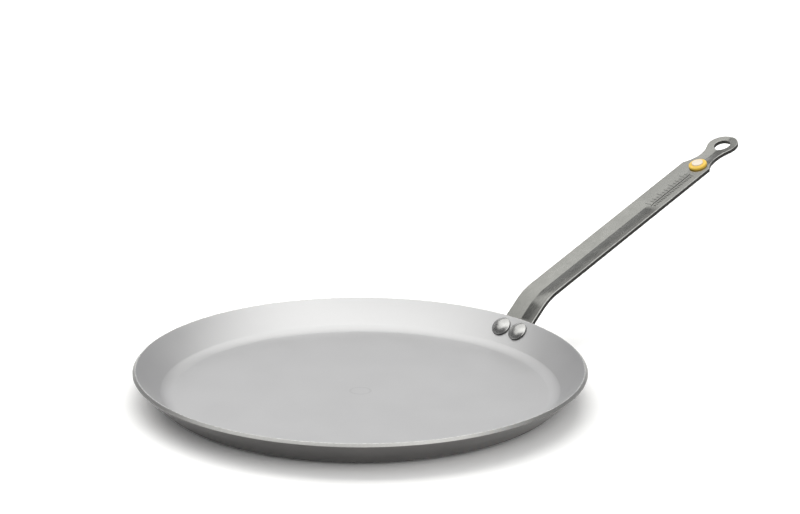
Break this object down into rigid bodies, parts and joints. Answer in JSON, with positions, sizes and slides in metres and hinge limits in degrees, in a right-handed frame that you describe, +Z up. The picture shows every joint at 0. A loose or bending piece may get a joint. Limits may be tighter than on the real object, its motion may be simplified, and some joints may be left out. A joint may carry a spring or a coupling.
{
  "type": "crepe pan",
  "caption": "Shallow round steel crepe pan with a flared wall, riveted strip handle with pressed gutter and hanging eye, and a round push-in button at the handle's shoulder.",
  "frame": {"origin": "centre of the base's underside, on the table", "axes": "+Z up, +X from the pan's centre along the handle, +Y to the left of the handle"},
  "size_m": [0.5243, 0.3, 0.1106],
  "materials": {
    "pan_steel": "satin bare carbon steel, cool grey, fine grain",
    "handle_steel": "dull rolled steel with fine mottled grain, dark sheared edges",
    "rivet_steel": "satin set rivet",
    "button_yellow": "soft satin yellow",
    "inlay_white": "satin white"
  },
  "bodies": {
    "root": {"pan_body": "pan_steel", "handle": "handle_steel", "rivet_left": "rivet_steel", "rivet_right": "rivet_steel", "button_plug": "button_yellow", "button_inlay": "inlay_white"}
  },
  "joints": []
}
